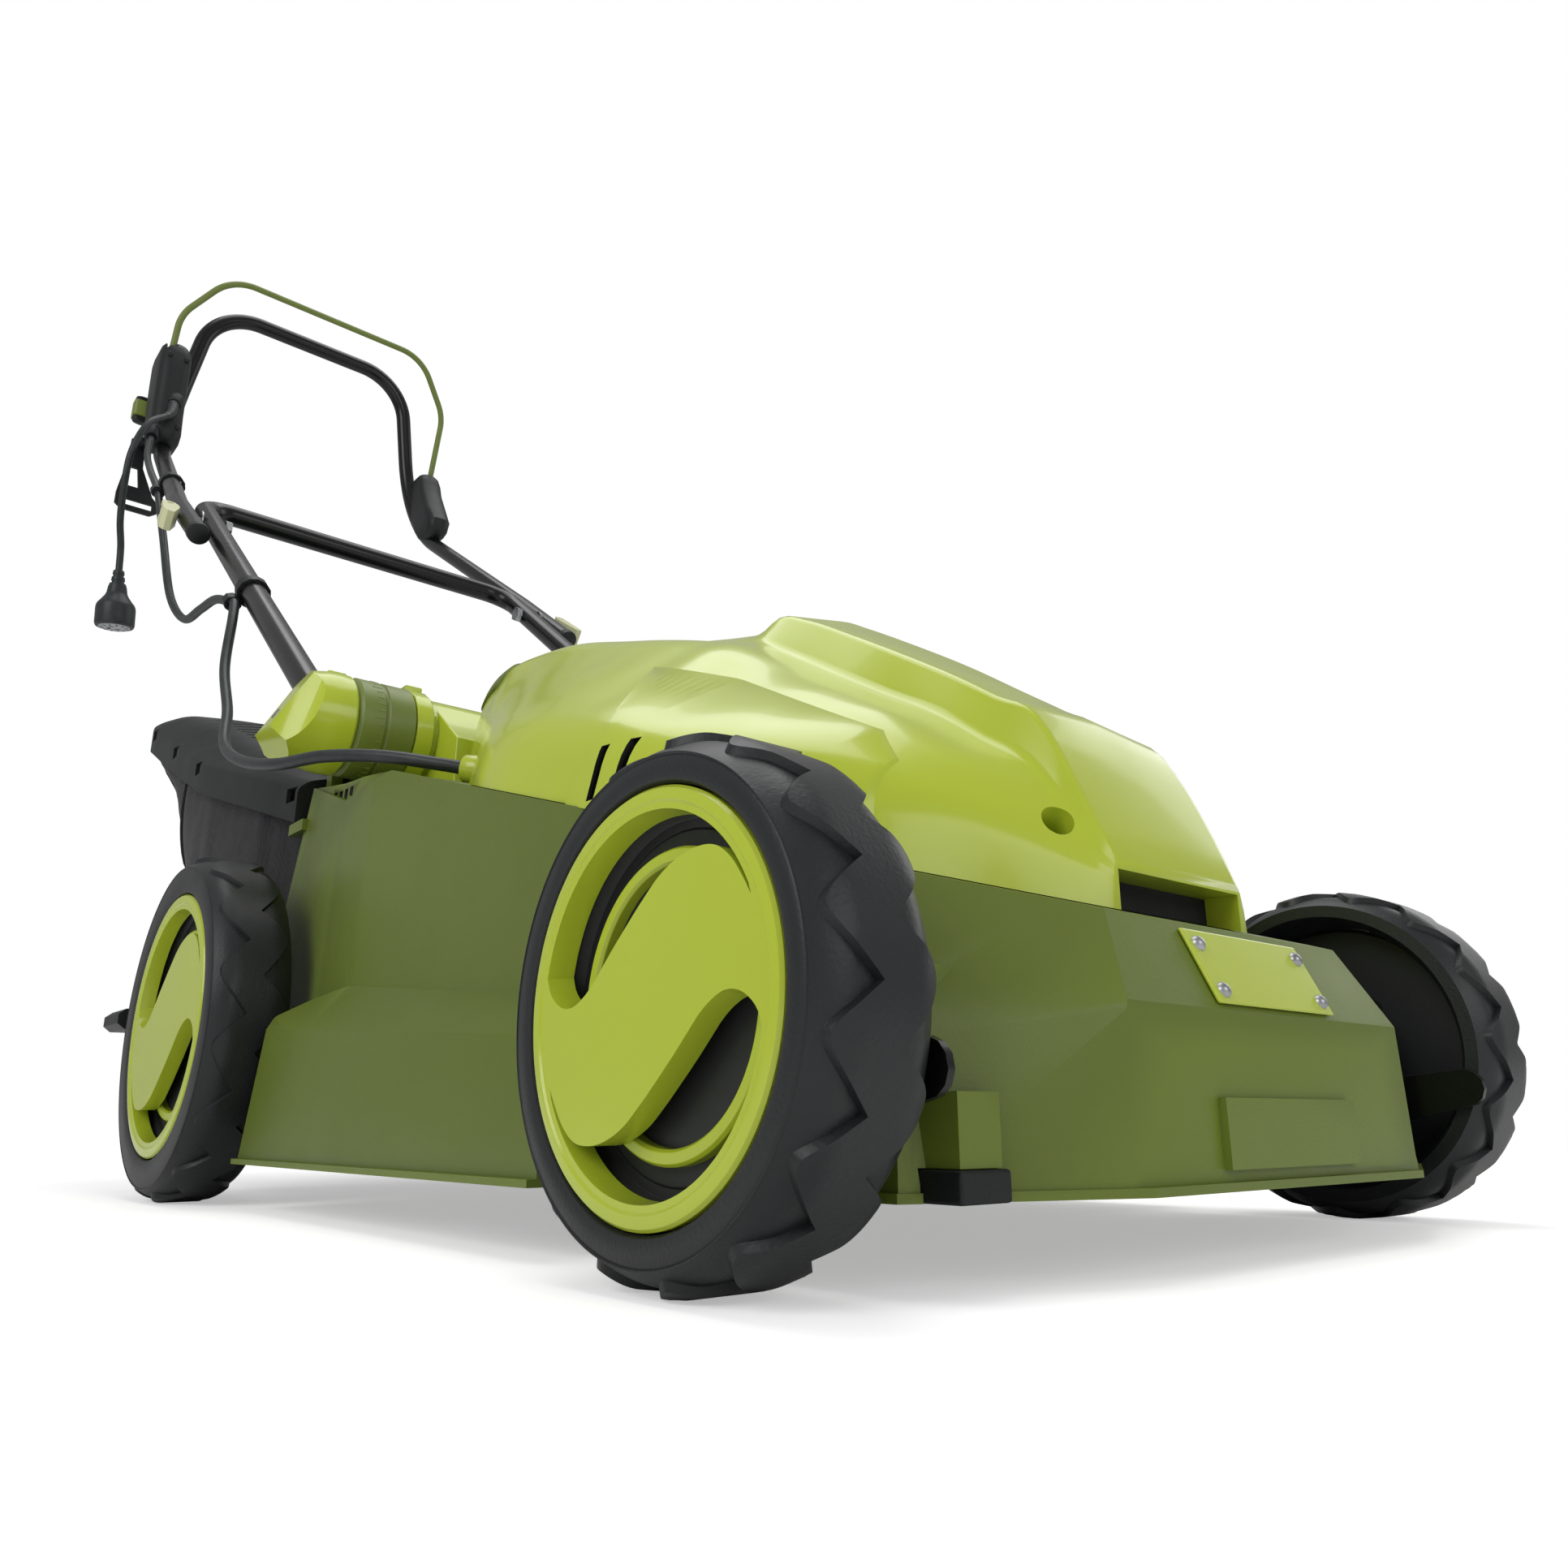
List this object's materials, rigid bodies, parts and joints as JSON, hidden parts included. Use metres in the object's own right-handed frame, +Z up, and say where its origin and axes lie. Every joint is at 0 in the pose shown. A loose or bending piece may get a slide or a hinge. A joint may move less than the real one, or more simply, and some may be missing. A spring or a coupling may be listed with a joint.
{
  "type": "corded electric lawn mower",
  "caption": "Corded rotary lawn mower with a domed hood, deck on four wheels, folding two-part handle with a bail, and a rear grass bag.",
  "frame": {"origin": "on the ground, at the middle of the footprint of the mower without its cord", "axes": "+X to the mower's own left, +Y back to the operator, +Z up"},
  "size_m": [0.48, 1.4063, 1.152],
  "materials": {
    "lime": "glossy moulded plastic",
    "olive": "satin moulded plastic",
    "dark_olive": "satin plastic and plastic-dipped rod",
    "pale_olive": "satin plastic",
    "black": "grained plastic",
    "tyre": "moulded tread",
    "tube": "gloss powder coat on steel tube",
    "steel": "plated steel",
    "cloth": "woven polyester",
    "cord": "flexible cord sheath and moulded plug"
  },
  "bodies": {
    "deck": {"deck_shell": "olive", "hood_shell": "lime", "hood_right_panel": "lime", "hood_left_panel": "lime", "front_plate": "lime", "motor_can": "black", "front_right_axle_block": "black", "front_left_axle_block": "black", "rear_right_axle_block": "black", "rear_left_axle_block": "black", "handle_right_neck": "lime", "handle_left_neck": "lime", "handle_right_pivot_ring": "dark_olive", "handle_left_pivot_ring": "dark_olive"},
    "blade_drive": {"motor_rotor": "steel", "blade_carrier": "black", "cutting_blade": "steel", "blade_bolt": "steel"},
    "front_crank": {"front_axle_crank": "black", "front_right_wheel_nut": "steel", "front_left_wheel_nut": "steel"},
    "rear_crank": {"rear_axle_crank": "black", "rear_right_wheel_nut": "steel", "rear_left_wheel_nut": "steel"},
    "link": {"link_rod": "steel"},
    "cut_lever": {"height_lever": "black"},
    "lower_handle_frame": {"lower_handle": "tube", "handle_right_cap": "lime", "handle_left_cap": "lime", "clamp_right_bolt": "steel", "clamp_left_bolt": "steel", "cable_clip_lower": "black", "motor_cable_lower": "cord"},
    "upper_handle_frame": {"upper_handle": "tube", "switch_box": "black", "bail_bracket": "black", "cable_clip_upper": "black", "motor_cable_upper": "cord", "pigtail_cord": "cord", "pigtail_plug": "cord"},
    "right_clamp_lever": {"clamp_right_lever": "pale_olive"},
    "left_clamp_lever": {"clamp_left_lever": "pale_olive"},
    "bail": {"bail_rod": "dark_olive"},
    "button": {"lock_button": "dark_olive"},
    "hook": {"cord_hook": "black"},
    "grass_bag": {"bag_lid": "black", "bag_cloth": "cloth"},
    "flap": {"rear_flap": "black"},
    "front_right_wheel": {"front_right_tyre": "tyre", "front_right_wheel_cover": "lime", "front_right_wheel_core": "black"},
    "front_left_wheel": {"front_left_tyre": "tyre", "front_left_wheel_cover": "lime", "front_left_wheel_core": "black"},
    "rear_right_wheel": {"rear_right_tyre": "tyre", "rear_right_wheel_cover": "lime", "rear_right_wheel_core": "black"},
    "rear_left_wheel": {"rear_left_tyre": "tyre", "rear_left_wheel_cover": "lime", "rear_left_wheel_core": "black"}
  },
  "joints": [
    {"name": "front_right_wheel_spin", "type": "hinge", "parent": "front_crank", "child": "front_right_wheel", "pos_m": [-0.2165, -0.6159, 0.0852], "axis": [1, 0, 0], "continuous": true},
    {"name": "front_left_wheel_spin", "type": "hinge", "parent": "front_crank", "child": "front_left_wheel", "pos_m": [0.2165, -0.6159, 0.0852], "axis": [1, 0, 0], "continuous": true},
    {"name": "rear_right_wheel_spin", "type": "hinge", "parent": "rear_crank", "child": "rear_right_wheel", "pos_m": [-0.2165, -0.0484, 0.1127], "axis": [1, 0, 0], "continuous": true},
    {"name": "rear_left_wheel_spin", "type": "hinge", "parent": "rear_crank", "child": "rear_left_wheel", "pos_m": [0.2165, -0.0484, 0.1127], "axis": [1, 0, 0], "continuous": true},
    {"name": "front_crank_pivot", "type": "hinge", "parent": "deck", "child": "front_crank", "pos_m": [0, -0.6499, 0.058], "axis": [1, 0, 0], "range_deg": [-50, 0]},
    {"name": "rear_crank_pivot", "type": "hinge", "parent": "deck", "child": "rear_crank", "pos_m": [0, -0.0824, 0.0855], "axis": [1, 0, 0], "range_deg": [-50, 0]},
    {"name": "link_pin", "type": "hinge", "parent": "front_crank", "child": "link", "pos_m": [0.1845, -0.6479, 0.075], "axis": [1, 0, 0], "range_deg": [0, 50]},
    {"name": "height_lever_pivot", "type": "hinge", "parent": "deck", "child": "cut_lever", "pos_m": [-0.18325, -0.0824, 0.0855], "axis": [1, 0, 0], "range_deg": [0, 20]},
    {"name": "blade_spin", "type": "hinge", "parent": "deck", "child": "blade_drive", "pos_m": [0, -0.3609, 0.06], "axis": [0, 0, 1], "continuous": true},
    {"name": "lower_fold", "type": "hinge", "parent": "deck", "child": "lower_handle_frame", "pos_m": [0, -0.1079, 0.321], "axis": [1, 0, 0], "range_deg": [0, 125], "deforming": ["motor_cable_lower"]},
    {"name": "upper_fold", "type": "hinge", "parent": "lower_handle_frame", "child": "upper_handle_frame", "pos_m": [0, 0.2891, 0.63809], "axis": [1, 0, 0], "range_deg": [-90, 0], "deforming": ["motor_cable_upper"]},
    {"name": "right_clamp_lever_pin", "type": "hinge", "parent": "lower_handle_frame", "child": "right_clamp_lever", "pos_m": [-0.2221, 0.2891, 0.63809], "axis": [0, -0.5807, 0.8141], "range_deg": [-100, 0]},
    {"name": "left_clamp_lever_pin", "type": "hinge", "parent": "lower_handle_frame", "child": "left_clamp_lever", "pos_m": [0.2221, 0.2891, 0.63809], "axis": [0, -0.5807, 0.8141], "range_deg": [0, 100]},
    {"name": "bail_pivot", "type": "hinge", "parent": "upper_handle_frame", "child": "bail", "pos_m": [0, 0.6501, 0.975], "axis": [1, 0, 0], "range_deg": [-22, 0], "stiffness_Nm_per_rad": 1.2, "springref_deg": 11.46},
    {"name": "lock_button_travel", "type": "slide", "parent": "upper_handle_frame", "child": "button", "axis": [0, -1, 0], "range_m": [0, 0.006], "stiffness_N_per_m": 200, "springref_m": -0.001},
    {"name": "cord_hook_pin", "type": "hinge", "parent": "upper_handle_frame", "child": "hook", "pos_m": [-0.199, 0.6741, 0.905], "axis": [0, 1, 0], "range_deg": [-60, 60]},
    {"name": "bag_release", "type": "slide", "parent": "deck", "child": "grass_bag", "axis": [0, 1, 0], "range_m": [0, 0.3]},
    {"name": "rear_flap_hinge", "type": "hinge", "parent": "deck", "child": "flap", "pos_m": [0, -0.0669, 0.301], "axis": [1, 0, 0], "range_deg": [0, 50], "stiffness_Nm_per_rad": 0.6, "springref_deg": -22.92}
  ],
  "couplings": [
    {"joint": "rear_crank_pivot", "follows": "front_crank_pivot", "ratio": 1},
    {"joint": "link_pin", "follows": "front_crank_pivot", "ratio": -1},
    {"joint": "height_lever_pivot", "follows": "front_crank_pivot", "ratio": -0.4}
  ]
}
